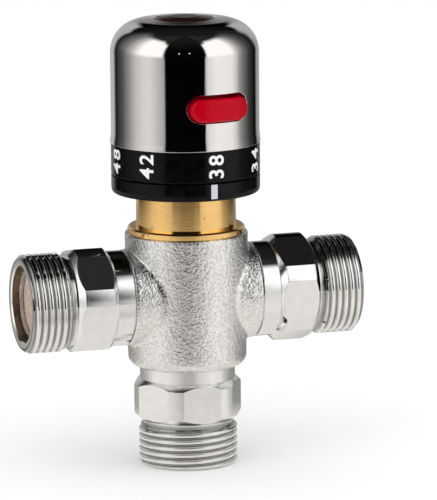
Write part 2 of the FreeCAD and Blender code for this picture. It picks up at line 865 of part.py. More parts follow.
# ---------------------------------------------------------------- safety button
def safety_button():
    """Push button with its inner flange, spring stem and latch leg, along +X."""
    face_r = knob_r + button_proud
    head = stadium_along_x(button_width, button_height, button_z, flange_in_r, face_r + button_proud)
    head = head.common(rod(face_r, button_z - button_height, button_z + button_height))
    rim = [e for e in head.Edges if all(math.hypot(v.X, v.Y) > knob_r for v in e.Vertexes)]
    head = head.makeFillet(button_edge, rim)
    flange = stadium_along_x(
        button_width + 2 * button_flange_edge,
        button_height + 2 * button_flange_edge,
        button_z,
        knob_hub_r,
        face_r,
    )
    low, high = button_z - button_width, button_z + button_width
    flange = flange.common(tube(flange_out_r, flange_in_r, low, high))
    button = head.fuse(flange).cut(rod(flange_in_r, low, high))
    stem_end = knob_hub_r + button_boss_proud + button_travel + button_stem_play
    stem_length = flange_in_r + 0.5 - stem_end
    stem = Part.makeCylinder(button_stem_r, stem_length, V(stem_end, 0, button_z), V(1, 0, 0))
    leg_top = button_z - button_coil_r - button_wire
    leg = block((0, ring_r), (-latch_width / 2, latch_width / 2), (latch_bottom, leg_top))
    leg = leg.common(tube(latch_out_r, latch_in_r, latch_bottom - 1, leg_top + 1))
    return spun(button.fuse(stem).fuse(leg).removeSplitter(), button_turn)


def button_spring():
    length = flange_in_r - knob_hub_r - button_boss_proud
    spring = coil(button_coil_r, button_wire, 0, length - 0.35, 2.5)
    spring.rotate(V(0, 0, 0), V(0, 1, 0), 90)
    spring.translate(V(knob_hub_r + button_boss_proud, 0, button_z))
    return spun(spring, button_turn)


# ---------------------------------------------------------------- the whole valve
def build():
    os.makedirs("parts", exist_ok=True)
    save(body_casting(), "body_casting")
    for side, name, turn in ((HOT, "hot", hot_union_turn), (COLD, "cold", cold_union_turn)):
        save(on_arm(union(side, turn), side), name + "_union")
        inlet_fittings(side, name)

    save(cartridge_sleeve(), "cartridge_sleeve")
    rings = [seal_ring(body_bore_r, sleeve_r - gland_depth, z, z + seal_width) for z in sleeve_glands()]
    save(Part.makeCompound(rings), "sleeve_seals")
    save(cold_seat(), "cold_seat")
    save(shuttle(), "shuttle")
    low = arm_z - seal_width / 2
    save(seal_ring(sleeve_bore_r - 0.01, shuttle_r - 0.7, low, low + seal_width), "shuttle_seal")
    save(wax_element(), "wax_element")
    save(return_spring(), "return_spring")

    save(bonnet(), "bonnet")
    save(bonnet_seal(), "bonnet_seal")
    save(spindle(), "spindle")
    rings = [seal_ring(bonnet_bore_r, stem_r - gland_depth, z, z + seal_width) for z in spindle_glands()]
    save(Part.makeCompound(rings), "spindle_seals")
    save(open_clip(stem_r + 1.5, stem_r - clip_depth + 0.05, bonnet_top + fit_gap), "spindle_clip")
    save(adjuster(), "adjuster")
    save(overload_plunger(), "overload_plunger")
    save(coil(cup_r - 0.2 - overload_wire / 2, overload_wire, plunger_top, cup_top, 3), "overload_spring")
    save(plunger_clip(), "plunger_clip")
    save(rod(pin_r, guide_top - pin_depth, plunger_tip + pin_socket), "element_pin")

    save(index_ring(), "index_ring")
    clip_inner = step_r - clip_depth + 0.05
    save(open_clip(step_r + 1.2, clip_inner, ring_shoulder + ring_web), "index_ring_clip")
    save(scale_ring(), "scale_ring")
    save(knob_shell(), "knob_shell")
    save(knob_cap(), "knob_cap")
    save(knob_hub(), "knob_hub")
    save(knob_screw(), "knob_screw")
    save(safety_button(), "safety_button")
    save(button_spring(), "button_spring")


build()
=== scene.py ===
"""Thermostatic mixing valve: camera, studio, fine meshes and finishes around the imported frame.

Meshes are worked out in millimetres and turned into metres when they are made.
The frame's +Z is the knob's axis; the hot inlet points along -X and the cold one along +X.
"""
import json
import math

import bmesh
import bpy
import mathutils.noise
import numpy as np
from mathutils import Matrix, Vector
from mathutils.bvhtree import BVHTree


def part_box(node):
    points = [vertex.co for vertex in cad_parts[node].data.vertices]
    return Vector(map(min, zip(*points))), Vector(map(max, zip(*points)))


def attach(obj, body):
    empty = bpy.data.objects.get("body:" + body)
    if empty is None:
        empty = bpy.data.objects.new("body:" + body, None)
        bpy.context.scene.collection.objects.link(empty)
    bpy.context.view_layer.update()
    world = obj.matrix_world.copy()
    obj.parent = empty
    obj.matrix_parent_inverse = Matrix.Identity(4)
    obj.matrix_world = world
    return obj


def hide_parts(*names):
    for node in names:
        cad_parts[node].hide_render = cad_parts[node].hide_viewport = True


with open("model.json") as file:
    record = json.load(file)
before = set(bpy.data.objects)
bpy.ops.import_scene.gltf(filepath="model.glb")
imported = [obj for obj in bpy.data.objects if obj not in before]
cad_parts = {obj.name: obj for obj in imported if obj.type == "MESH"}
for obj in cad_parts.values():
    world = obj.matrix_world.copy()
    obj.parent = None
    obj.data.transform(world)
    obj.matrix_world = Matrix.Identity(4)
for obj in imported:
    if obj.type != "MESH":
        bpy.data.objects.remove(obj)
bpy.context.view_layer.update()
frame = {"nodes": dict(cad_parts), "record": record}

MM = 0.001
TAU = 2 * math.pi
HOT, COLD = -1, 1


def node_box(node):
    """Lowest and highest corner of a CAD node, in millimetres."""
    low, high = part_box(node)
    return [c / MM for c in low], [c / MM for c in high]


# -------- sizes, from the frame
shell_low, shell_high = node_box("knob_shell")
ring_low, ring_high = node_box("index_ring")
hot_low, hot_high = node_box("hot_union")
weave_low, weave_high = node_box("cold_strainer_mesh")
rim_low, rim_high = node_box("cold_strainer_ring")

reach = node_box("cold_union")[1][0]    # valve centre to each port's end face
arm_z = (hot_low[2] + hot_high[2]) / 2
ring_r, ring_bottom = ring_high[0], ring_low[2]
scale_bottom = node_box("scale_ring")[0][2]
lip_r, lip_z = shell_high[0], shell_low[2]      # the shell's foot, on the scale ring
knob_top = shell_high[2]
cap_top = node_box("knob_cap")[1][2]

# -------- sizes of the visible forms
thread_r, thread_depth, thread_pitch = 13.22, 0.85, 1.814
thread_start = 11.0                     # end face back to the first full turn
relief_r, relief_width = 12.0, 0.9
end_chamfer, run_in = 0.95, 1.2         # at the thread's end, and its slope out of the relief
hex_flats, hex_corner_r, hex_end_r, hex_break = 27.0, 14.5, 12.9, 0.07
hex_low, hex_high = reach - 23.4, reach - 12.4
collar_r, boss_end, boss_r, joint_gap = 12.75, 17.7, 12.9, 0.3      # a dark gap parts boss and collar
port_r, union_step, way_r = 10.2, 25.0, 7.5
spigot_r, spigot_end, seal_width, gland_depth = 10.4, boss_end - 4.7, 1.3, 1.1
outlet_depth, throat_r, throat_top, chamber_r = 26.0, 8.0, 35.0, 12.7
barrel_low_r, barrel_high_r = 15.8, 16.5
barrel_low, barrel_high = arm_z - 19.3, node_box("body_casting")[1][2]
foot_fillet, boss_fillet, cast_round = 3.0, 0.7, 0.45
flange_r, flange_in_r, flange_top, flange_bevel = 15.7, 12.2, barrel_high + 1.8, 0.45
neck_r, neck_in_r, neck_top = 13.33, 12.7, ring_bottom + 2.0
ring_top, ring_in_r, ring_bore_r, ring_step = scale_bottom - 0.3, 15.5, 14.2, 0.35
stop_r = 18.2                           # outside of the ring's end stop
knob_r, dome_r, knob_wall = ring_r - 0.1, 8.6, 1.5
rim_z = knob_top - 0.3                  # where the dome ends
cap_hole_r, cap_hole_in_r, cap_r, cap_seat = 7.95, 6.7, 7.8, 2.0
cap_height, cap_side = 2.9, 2.1
inner_r = knob_r - knob_wall
scale_in_r, sleeve_r, sleeve_in_r = ring_r - 1.5, inner_r - 0.05, inner_r - 1.3
sleeve_top, sleeve_low = lip_z + 3.65, lip_z - 1.85
button_turn, slot_turn = -78.2, -78.6
button_width, button_height = 16.9, 6.1
slot_width, slot_height = 17.9, 7.4
slot_z = (lip_z + rim_z - dome_r) / 2 - 0.8
button_z = slot_z - 0.35
button_root_r, button_face_r, button_edge = 17.2, knob_r + 1.3, 0.9
rim_width, rim_front, rim_skirt = 1.35, 1.0, 0.55
weave_pitch, wires_deep, wire_sides = 0.62, 4.3, 5
number_size, number_bold, number_spacing, number_relief = 5.85, 0.10, 1.24, 0.05
mark_turn, mark_width, mark_relief = -84.9, 1.8, 0.04
mark_low, mark_high = ring_bottom + 0.75, ring_top - 0.1


# -------- mesh helpers
def smooth_normals(mesh, angle=38.0):
    """Custom normals: faces weigh by their area, and edges sharper than `angle` stay crisp."""
    faces, corners = len(mesh.polygons), len(mesh.loops)
    normal = np.empty(faces * 3)
    area = np.empty(faces)
    total = np.empty(faces, int)
    vertex = np.empty(corners, int)
    mesh.polygons.foreach_get("normal", normal)
    mesh.polygons.foreach_get("area", area)
    mesh.polygons.foreach_get("loop_total", total)
    mesh.loops.foreach_get("vertex_index", vertex)
    normal = normal.reshape(-1, 3)
    face = np.repeat(np.arange(faces), total)
    order = np.argsort(vertex, kind="stable")
    counts = np.bincount(vertex, minlength=len(mesh.vertices))
    partners = counts[vertex[order]]
    first = np.repeat(np.cumsum(counts) - counts, counts)
    mine = np.repeat(np.arange(corners), partners)
    step = np.arange(partners.sum()) - np.repeat(np.cumsum(partners) - partners, partners)
    other = face[order[first[mine] + step]]
    own = face[order[mine]]
    near = (normal[own] * normal[other]).sum(1) > math.cos(math.radians(angle))
    weight = (area[other] * near)[:, None] * normal[other]
    summed = np.stack([np.bincount(mine, weight[:, k], corners) for k in range(3)], 1)
    result = np.empty((corners, 3))
    result[order] = summed / np.maximum(np.linalg.norm(summed, axis=1, keepdims=True), 1e-12)
    mesh.polygons.foreach_set("use_smooth", np.ones(faces, bool))
    mesh.normals_split_custom_set(result.tolist())


def make_mesh(name, points, faces):
    """Mesh from millimetre points, merged, without empty faces, with normals pointing out."""
    mesh = bpy.data.meshes.new(name)
    mesh.from_pydata((np.asarray(points, float) * MM).tolist(), [], faces)
    bm = bmesh.new()
    bm.from_mesh(mesh)
    bmesh.ops.remove_doubles(bm, verts=bm.verts, dist=2e-7)
    bmesh.ops.dissolve_degenerate(bm, edges=bm.edges, dist=1e-7)
    bmesh.ops.recalc_face_normals(bm, faces=bm.faces)
    bm.to_mesh(mesh)
    bm.free()
    return mesh


def add_piece(name, mesh, body, material, stands_for=(), angle=38.0):
    """Object that rides on a body, in a finish, in place of CAD nodes."""
    if angle:
        smooth_normals(mesh, angle)
    obj = bpy.data.objects.new(name, mesh)
    bpy.context.scene.collection.objects.link(obj)
    mesh.materials.append(material)
    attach(obj, body)
    if stands_for:
        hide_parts(*stands_for)
    return obj


def add_form(name, form, body, slot, stands_for=(), finish=None, angle=38.0):
    """Piece from (points, faces), in its slot's finish unless it has one of its own."""
    return add_piece(name, make_mesh(name, *form), body, finish or FINISH[slot], stands_for, angle)


def soften(corners, closed=True, steps=4):
    """Profile of (radius, height, fillet) corners with each corner rounded."""
    result = []
    count = len(corners)
    for k, (x, y, fillet) in enumerate(corners):
        here = Vector((x, y))
        if fillet <= 0 or (not closed and k in (0, count - 1)):
            result.append((x, y))
            continue
        to_last = Vector(corners[k - 1][:2]) - here
        to_next = Vector(corners[(k + 1) % count][:2]) - here
        half = to_last.angle(to_next) / 2
        if half > 1.55:
            result.append((x, y))
            continue
        length = min(fillet / math.tan(half), 0.48 * to_last.length, 0.48 * to_next.length)
        u, v = to_last.normalized(), to_next.normalized()
        centre = here + (u + v).normalized() * (length / math.cos(half))
        start, end = here + u * length - centre, here + v * length - centre
        sweep = start.angle_signed(end)
        for i in range(steps + 1):
            turned = Vector(start)
            turned.rotate(Matrix.Rotation(-sweep * i / steps, 2))
            result.append(tuple(centre + turned))
    return result


def grid(rows, closed):
    """Points and quads of a closed band: each row is an array of points round the axis."""
    points = np.concatenate(rows)
    count, columns = len(rows), len(rows[0])
    faces = []
    for i in range(count if closed else count - 1):
        a, b = i * columns, (i + 1) % count * columns
        for j in range(columns):
            k = (j + 1) % columns
            faces.append((a + j, a + k, b + k, b + j))
    return points, faces


def capped(rows):
    """An open band of rows with a face at each end."""
    points, faces = grid(rows, False)
    ring = len(rows[0])
    faces += [tuple(range(ring)), tuple(range(len(points) - ring, len(points)))]
    return points, faces


def circle_row(radius, height, turns):
    """One row of points round +Z; radius and height are numbers or arrays."""
    wide = np.ones_like(turns)
    return np.stack([radius * np.cos(turns), radius * np.sin(turns), height * wide], 1)


def lathe(profile, closed=True, columns=288):
    turns = np.arange(columns) * TAU / columns
    return grid([circle_row(r, z, turns) for r, z in profile], closed)


def on_arm(points, side):
    """Turns points that were built along +Z onto an inlet's axis."""
    x, y, z = np.asarray(points).T
    return np.stack([side * z, y, arm_z - side * x], 1)


def on_outlet(points):
    x, y, z = np.asarray(points).T
    return np.stack([x, -y, arm_z - z], 1)


def joined(*parts):
    """Several (points, faces) pairs as one."""
    points, faces, base = [], [], 0
    for p, f in parts:
        points.append(np.asarray(p, float))
        faces.extend([tuple(i + base for i in face) for face in f])
        base += len(p)
    return np.concatenate(points), faces


def kept_faces(node, keep):
    """The faces of a CAD node, in millimetres, whose corners all pass keep(x, y, z)."""
    mesh = frame["nodes"][node].data
    points = np.array([v.co for v in mesh.vertices]) / MM
    good = keep(*points.T)
    faces = [tuple(p.vertices) for p in mesh.polygons if all(good[i] for i in p.vertices)]
    used = sorted({i for face in faces for i in face})
    index = {old: new for new, old in enumerate(used)}
    return points[used], [tuple(index[i] for i in face) for face in faces]


# -------- finishes
def new_material(name):
    material = bpy.data.materials.new(name)
    material.use_nodes = True
    tree = material.node_tree
    shader = tree.nodes["Principled BSDF"]
    return material, tree, shader


def add_node(tree, kind, inputs=(), **settings):
    """Node with its inputs set: a number or colour, or another node's output."""
    node = tree.nodes.new(kind)
    for name, value in settings.items():
        setattr(node, name, value)
    for key, value in dict(inputs).items():
        if isinstance(value, bpy.types.NodeSocket):
            tree.links.new(value, node.inputs[key])
        else:
            node.inputs[key].default_value = value
    return node


def object_points(tree, stretch=(1, 1, 1)):
    """Coordinates in millimetres on the object, stretched along its axes."""
    where = add_node(tree, "ShaderNodeTexCoord")
    scale = [s / MM for s in stretch]
    mapping = add_node(tree, "ShaderNodeMapping", {"Vector": where.outputs["Object"], "Scale": scale})
    return mapping.outputs["Vector"]


def noise(tree, points, scale, detail=2.0):
    inputs = {"Vector": points, "Scale": scale, "Detail": detail}
    return add_node(tree, "ShaderNodeTexNoise", inputs).outputs["Fac"]


def ramp(tree, value, low, high, out_low=0.0, out_high=1.0, smooth=False):
    node = add_node(
        tree,
        "ShaderNodeMapRange",
        {"Value": value, "From Min": low, "From Max": high, "To Min": out_low, "To Max": out_high},
        interpolation_type="SMOOTHSTEP" if smooth else "LINEAR",
    )
    return node.outputs["Result"]


def mixed(tree, share, first, second):
    """Colour between two, by share."""
    node = tree.nodes.new("ShaderNodeMix")
    node.data_type = "RGBA"
    tree.links.new(share, node.inputs["Factor"])
    for name, value in (("A", first), ("B", second)):
        socket = [s for s in node.inputs if s.name == name and s.type == "RGBA"][0]
        if isinstance(value, bpy.types.NodeSocket):
            tree.links.new(value, socket)
        else:
            socket.default_value = (*value, 1)
    return [s for s in node.outputs if s.type == "RGBA"][0]


def bump(tree, shader, height, depth_mm):
    node = add_node(tree, "ShaderNodeBump", {"Height": height, "Distance": depth_mm * MM, "Strength": 1.0})
    tree.links.new(node.outputs["Normal"], shader.inputs["Normal"])


def metal(name, dark, light, rough, grain, depth, spots=0.5, groove=None, bare=1.0):
    """Metal with a slight change of tone and roughness and a fine grain.

    rough is (least, most), grain the grain's count per millimetre, depth its height in mm,
    groove the colour of the painted shade at the root of a thread, and bare the share that is bare metal.
    """
    material, tree, shader = new_material(name)
    points = object_points(tree)
    cloud = noise(tree, points, spots, 3.0)
    colour = mixed(tree, ramp(tree, cloud, 0.35, 0.65), dark, light)
    if groove:
        # painted shade: thread roots darken towards the groove colour by their depth
        root = add_node(tree, "ShaderNodeAttribute", attribute_name="groove").outputs["Fac"]
        colour = mixed(tree, ramp(tree, root, 0.3, 0.9), colour, groove)
    tree.links.new(colour, shader.inputs["Base Color"])
    tree.links.new(ramp(tree, cloud, 0.3, 0.7, *rough), shader.inputs["Roughness"])
    shader.inputs["Metallic"].default_value = bare
    bump(tree, shader, noise(tree, points, grain, 3.0), depth)
    return material


def plastic(name, dark, light, rough, grain, depth, shine=0.5):
    """Moulded plastic, rubber or ink: its values are as in metal()."""
    material, tree, shader = new_material(name)
    points = object_points(tree)
    cloud = noise(tree, points, 0.4, 3.0)
    colour = mixed(tree, ramp(tree, cloud, 0.35, 0.65), dark, light)
    tree.links.new(colour, shader.inputs["Base Color"])
    tree.links.new(ramp(tree, cloud, 0.3, 0.7, *rough), shader.inputs["Roughness"])
    shader.inputs["Specular IOR Level"].default_value = shine
    bump(tree, shader, noise(tree, points, grain, 2.0), depth)
    return material


def cast_metal():
    """Chrome plate over a sand-cast skin: soft wrinkles, pits and polished high spots."""
    material, tree, shader = new_material("cast_chrome")
    points = object_points(tree)
    warp = add_node(tree, "ShaderNodeTexNoise", {"Vector": points, "Scale": 0.9, "Detail": 1.0})
    shifted = add_node(
        tree,
        "ShaderNodeVectorMath",
        {0: warp.outputs["Color"], 1: (1.1, 1.1, 1.1), 2: points},
        operation="MULTIPLY_ADD",
    ).outputs["Vector"]
    wrinkle = noise(tree, shifted, 1.5)
    fine = noise(tree, shifted, 3.2, 1.0)
    half = add_node(tree, "ShaderNodeMath", {0: fine, 1: 0.4}, operation="MULTIPLY").outputs[0]
    both = add_node(tree, "ShaderNodeMath", {0: wrinkle, 1: half}, operation="ADD").outputs[0]
    colour = mixed(tree, ramp(tree, wrinkle, 0.36, 0.56), (0.76, 0.75, 0.735), (0.95, 0.945, 0.93))
    tree.links.new(colour, shader.inputs["Base Color"])
    tree.links.new(ramp(tree, fine, 0.35, 0.65, 0.13, 0.22), shader.inputs["Roughness"])
    shader.inputs["Metallic"].default_value = 1.0
    bump(tree, shader, both, 0.20)
    return material


def turned_brass():
    """Satin brass with the fine rings that the lathe left and a few dark specks."""
    material, tree, shader = new_material("bare_brass")
    points = object_points(tree)
    rings = noise(tree, object_points(tree, (0.004, 0.004, 1)), 7.0, 2.0)
    specks = ramp(tree, noise(tree, points, 1.6, 1.0), 0.74, 0.77)
    tone = mixed(tree, ramp(tree, rings, 0.25, 0.75), (0.97, 0.58, 0.20), (1.0, 0.69, 0.29))
    colour = mixed(tree, specks, tone, (0.30, 0.15, 0.05))
    tree.links.new(colour, shader.inputs["Base Color"])
    tree.links.new(ramp(tree, rings, 0.3, 0.7, 0.10, 0.14), shader.inputs["Roughness"])
    shader.inputs["Metallic"].default_value = 1.0
    bump(tree, shader, rings, 0.003)
    return material


FINISH = {
    "cast_chrome": cast_metal(),
    "bright_chrome": metal(
        "bright_chrome", (0.88, 0.88, 0.875), (0.93, 0.93, 0.92), (0.04, 0.08), 4.0, 0.003,
        # groove: painted shade at the thread's roots
        groove=(0.42, 0.415, 0.40),
    ),
    "knob_chrome": metal(
        "knob_chrome", (0.85, 0.825, 0.80), (0.88, 0.855, 0.83), (0.02, 0.05), 0.25, 0.002, spots=0.1
    ),
    "bare_brass": turned_brass(),
    "wax_copper": metal("wax_copper", (0.55, 0.30, 0.18), (0.72, 0.43, 0.28), (0.25, 0.4), 6.0, 0.01),
    "spring_steel": metal(
        "spring_steel", (0.55, 0.55, 0.54), (0.72, 0.72, 0.71), (0.2, 0.3), 5.0, 0.006
    ),
    "strainer_weave": metal(
        "strainer_weave", (0.62, 0.49, 0.40), (0.82, 0.69, 0.58), (0.4, 0.55), 6.0, 0.01,
        spots=1.2, bare=0.3,
    ),
    "gloss_black": plastic(
        "gloss_black", (0.0012, 0.0010, 0.0010), (0.0030, 0.0026, 0.0026), (0.08, 0.14), 1.5, 0.002,
        shine=0.17,
    ),
    "button_red": plastic(
        "button_red", (0.42, 0.0, 0.008), (0.48, 0.0, 0.012), (0.10, 0.14), 0.6, 0.002, shine=0.12
    ),
    "inner_plastic": plastic(
        "inner_plastic", (0.78, 0.77, 0.72), (0.88, 0.87, 0.82), (0.45, 0.6), 3.0, 0.01
    ),
    "seal_rubber": plastic(
        "seal_rubber", (0.015, 0.015, 0.015), (0.03, 0.03, 0.03), (0.5, 0.7), 4.0, 0.02
    ),
}
white_ink = plastic("white_ink", (0.80, 0.80, 0.80), (0.88, 0.88, 0.88), (0.3, 0.4), 5.0, 0.002)
mark_ink = plastic("mark_ink", (0.52, 0.55, 0.60), (0.60, 0.63, 0.68), (0.3, 0.4), 5.0, 0.002)

for subpart in frame["record"]["subparts"]:
    node = frame["nodes"][subpart["node"]]
    for k in range(len(node.material_slots)):
        node.material_slots[k].material = FINISH[subpart["material_slot"]]


# -------- port ends
def end_columns(turn):
    """Angles round a port: an even spread and the edges of the hexagon's flats."""
    even = list(np.arange(240) * TAU / 240)
    edge = math.acos(hex_flats / 2 / hex_corner_r)
    for k in range(6):
        middle = math.radians(turn + 30 + 60 * k)
        for side in (-1, 1):
            for offset in (-0.012, 0.0, 0.012):
                even.append((middle + side * edge + offset) % TAU)
    return np.unique(np.round(even, 5))


def hex_rows(turns, turn):
    """Rows of the hexagon between its chamfers, with a narrow break along each edge."""
    local = (turns - math.radians(turn + 30) + math.pi / 6) % (math.pi / 3) - math.pi / 6
    side = np.minimum(hex_flats / 2 / np.cos(local), hex_corner_r)
    rise = np.maximum(side - hex_end_r, 0.0)
    rows = []
    for low, up in ((hex_low, 1), (hex_high, -1)):
        at_end = np.minimum(side, hex_end_r)
        face = [
            (at_end - 0.06, low + 0 * rise),
            (at_end, low + up * 0.05),
            (side - hex_break, low + up * np.maximum(rise - hex_break, 0.05)),
            (side, low + up * (rise + hex_break)),
        ]
        rows.append(face if up == 1 else face[::-1])
    return rows[0] + rows[1]


def thread_rows(turns):
    """Rows that follow the thread's helix, cut off by the relief and the end chamfer."""
    root = thread_r - thread_depth
    shape = [(0, 0), (0.05, 0.02), (0.09, 0.12), (0.26, 0.82), (0.30, 0.95), (0.35, 1), (0.5, 1)]
    shape += [(0.65, 1), (0.70, 0.95), (0.74, 0.82), (0.91, 0.12), (0.95, 0.02)]
    low, high = reach - thread_start, reach
    rows = []
    for k in range(-1, int((high - low) / thread_pitch) + 1):
        for along, up in shape:
            s = low + (k + along + turns / TAU) * thread_pitch
            radius = root + up * thread_depth + 0 * turns
            inside = np.clip(s, low, high)
            if (s > high).all() or (s < low).all():
                continue
            back = np.clip((low - s) / thread_pitch * 2 * thread_depth, 0, None)
            over = np.clip((s - high) / thread_pitch * 2 * thread_depth, 0, None)
            radius = np.maximum(radius - back - over, relief_r)
            radius = np.minimum(radius, thread_r - end_chamfer + (high - inside))
            radius = np.minimum(radius, relief_r + 0.1 + (inside - low) * run_in)
            rows.append((radius, inside))
    return rows


def male_end(turn):
    """Points of collar, hexagon, relief, thread and end face, from the collar outwards."""
    turns = end_columns(turn)
    gap_r = collar_r - 3 * joint_gap
    rows = [(gap_r, boss_end), (gap_r, boss_end + joint_gap), (collar_r - 0.1, boss_end + joint_gap)]
    rows += [(collar_r, boss_end + joint_gap + 0.1), (collar_r, hex_low - 0.12)]
    rows += [(collar_r - 0.03, hex_low - 0.03)]
    rows += hex_rows(turns, turn)
    rows += [(relief_r + 0.1, hex_high), (relief_r, hex_high + 0.1)]
    rows += [(relief_r, hex_high + relief_width), (relief_r + 0.02, reach - thread_start)]
    rows += thread_rows(turns)
    rows += [(thread_r - 1.02, reach), (port_r + 0.35, reach), (port_r, reach - 0.35)]
    return turns, rows


def build_rows(turns, rows, closed):
    return grid([circle_row(r + 0 * turns, z + 0 * turns, turns) for r, z in rows], closed)


def mark_groove_shade(mesh, axis_distance, along):
    """Stores how deep each point lies in the thread, for the painted shade at the thread's roots."""
    depth = np.clip((thread_r - axis_distance) / thread_depth, 0, 1)
    depth[(along < hex_high + 0.3) | (axis_distance < port_r + 0.6)] = 0
    mesh.attributes.new("groove", "FLOAT", "POINT").data.foreach_set("value", depth.astype(np.float32))


def mesh_points(mesh):
    points = np.empty(len(mesh.vertices) * 3)
    mesh.vertices.foreach_get("co", points)
    return points.reshape(-1, 3).T / MM


bore_finish = metal("bore_brown", (0.16, 0.11, 0.075), (0.30, 0.22, 0.15), (0.3, 0.45), 3.0, 0.02)


def add_port(name, form, finish, node, upright=False):
    """Piece with a threaded end: its grooves are marked for painted shade at their roots and its bore is
    dull.
    """
    mesh = make_mesh(name, *form)
    x, y, z = mesh_points(mesh)
    off_axis, along = (np.hypot(x, y), arm_z - z) if upright else (np.hypot(y, z - arm_z), np.abs(x))
    mark_groove_shade(mesh, off_axis, along)
    add_piece(name, mesh, "valve_body", finish, [node])
    mesh.materials.append(bore_finish)
    for polygon in mesh.polygons:
        if all(off_axis[i] < port_r + 0.02 for i in polygon.vertices):
            polygon.material_index = 1


def side_union(side, turn):
    local = turn - 90 if side == HOT else -90 - turn
    turns, rows = male_end(local)
    groove = boss_end - 0.3
    rows += [(port_r, union_step), (way_r + 0.1, union_step), (way_r, union_step - 0.1)]
    rows += [(way_r, spigot_end), (spigot_r, spigot_end), (spigot_r, groove - seal_width)]
    rows += [(spigot_r - gland_depth, groove - seal_width), (spigot_r - gland_depth, groove)]
    rows += [(spigot_r, groove), (spigot_r, boss_end)]
    points, faces = build_rows(turns, rows, True)
    return on_arm(points, side), faces


def strainer_rim():
    """Pressed ring along +Z: a flat front with a thin skirt behind it."""
    out, face, deep = rim_high[1], rim_high[0], rim_low[0]
    corners = [(out - rim_width, face, 0.12), (out, face, 0.12), (out, deep, 0.05)]
    corners += [(out - rim_skirt, deep, 0.05), (out - rim_skirt, face - rim_front, 0.0)]
    corners += [(out - rim_width, face - rim_front, 0.05)]
    return lathe(soften(corners), columns=192)


for side, name, turn in ((HOT, "hot", 12.4), (COLD, "cold", 24.5)):
    union = side_union(side, turn)
    add_port(name + "_union_fine", union, FINISH["bright_chrome"], name + "_union")
    points, faces = strainer_rim()
    add_form(
        name + "_strainer_rim", (on_arm(points, side), faces), "valve_body", "spring_steel",
        [name + "_strainer_ring"],
    )


# -------- woven strainers
def woven_disc(radius, low, high):
    """Square weave of fine round wire that fills a disc along +Z."""
    wire_r = (high - low) / wires_deep
    middle = (low + high) / 2
    count = int(radius / weave_pitch)
    parts = []
    for way in (0, 1):
        for i in range(-count, count + 1):
            offset = i * weave_pitch
            half = math.sqrt(max(radius**2 - offset**2, 0.0)) - wire_r
            if half < weave_pitch:
                continue
            steps = int(2 * half / (weave_pitch / 2))
            rows = []
            for k in range(steps + 1):
                along = -half + 2 * half * k / steps
                swing = math.cos(math.pi * along / weave_pitch + math.pi * (i + way))
                height = middle + wire_r * 0.95 * swing
                row = []
                for j in range(wire_sides):
                    angle = TAU * j / wire_sides
                    across = offset + wire_r * math.cos(angle)
                    up = height + wire_r * math.sin(angle)
                    row.append((along, across, up) if way == 0 else (across, along, up))
                rows.append(np.array(row))
            parts.append(capped(rows))
    return joined(*parts)


for side, name in ((HOT, "hot"), (COLD, "cold")):
    points, faces = woven_disc(weave_high[1], weave_low[0], weave_high[0])
    add_form(
        name + "_strainer_weave", (on_arm(points, side), faces), "valve_body", "strainer_weave",
        [name + "_strainer_mesh"], angle=60,
    )


# -------- body casting
def round_max(a, b, radius):
    """Intersection of two distances with a rounded edge."""
    corner = np.hypot(np.maximum(a + radius, 0), np.maximum(b + radius, 0)) - radius
    return np.where((a > -radius) & (b > -radius), corner, np.maximum(a, b))


def round_min(a, b, radius):
    return -round_max(-a, -b, radius)


def casting_distance(p):
    """Signed distance to the casting's skin: tapered barrel, two bosses, throat and chamber."""
    x, y, z = p.T
    rho = np.hypot(x, y)
    slope = (barrel_high_r - barrel_low_r) / (barrel_high - barrel_low)
    side = rho - (barrel_low_r + (z - barrel_low) * slope)
    barrel = round_max(side, barrel_low - z, foot_fillet)
    barrel = round_max(barrel, z - barrel_high, cast_round)
    boss = round_max(np.hypot(y, z - arm_z) - boss_r, np.abs(x) - boss_end, cast_round)
    solid = round_min(barrel, boss, boss_fillet)
    throat = np.maximum(rho - throat_r, z - throat_top)
    chamber = np.maximum(rho - chamber_r, throat_top - z)
    return np.maximum(solid, -np.minimum(throat, chamber))


LUMPS = ((0.45, 0.022), (0.95, 0.019))  # the mould's lumps: count per millimetre and height
boss_extra, rim_fade = 1.7, 1.2
voxel = 0.42


def unevenness(p):
    """Height of the sand mould's soft lumps, rougher on the bosses and none at the machined rims."""
    broad, close = (
        height * np.array([mathutils.noise.noise(Vector(q) * per_mm) for q in p]) for per_mm, height in LUMPS
    )
    x, y, z = p.T
    boss_share = np.clip((np.abs(x) - 9.0) / 3.0, 0, 1)
    rim_gap = np.minimum(np.minimum(barrel_high - z, z - barrel_low), boss_end - np.abs(x))
    return (broad + close) * (1 + boss_extra * boss_share) * np.clip(rim_gap / rim_fade, 0, 1)


